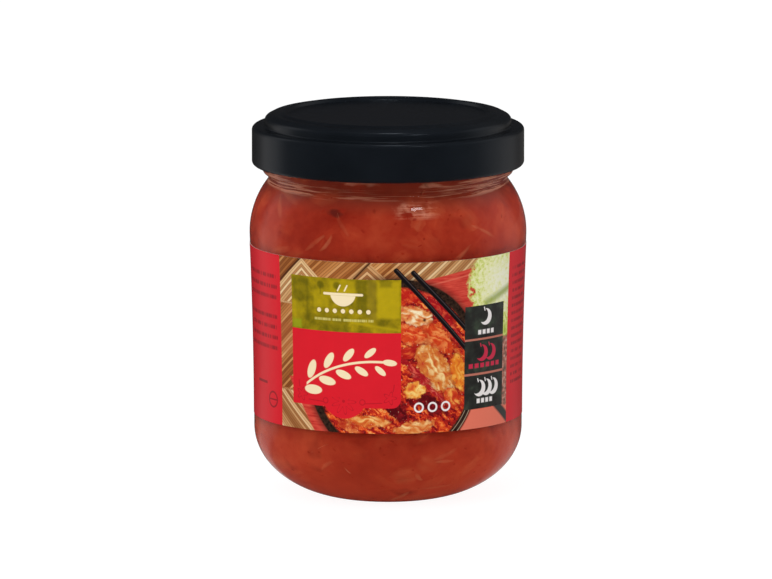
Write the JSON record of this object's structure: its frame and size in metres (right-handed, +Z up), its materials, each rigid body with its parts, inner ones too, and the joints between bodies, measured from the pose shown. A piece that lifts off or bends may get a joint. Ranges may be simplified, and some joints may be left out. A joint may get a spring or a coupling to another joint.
{
  "type": "kimchi jar",
  "caption": "Small round glass jar of kimchi with a rounded heel, a paper label wrapped round its side and a black twist-off tin lid.",
  "frame": {"origin": "centre of the base, on the surface that the jar stands on", "axes": "+Z up along the jar's axis; the front of the label faces -Y, and the label's lap is at the back, near +Y"},
  "size_m": [0.062, 0.0621, 0.0865],
  "materials": {
    "glass": "clear pressed and blown flint glass",
    "kimchi": "wet cut cabbage in cloudy red chilli brine",
    "label_paper": "coated printed paper, satin",
    "lid_lacquer": "black lacquered tinplate, satin"
  },
  "bodies": {
    "root": {"glass_jar": "glass", "kimchi": "kimchi", "label": "label_paper", "lid": "lid_lacquer"}
  },
  "joints": []
}
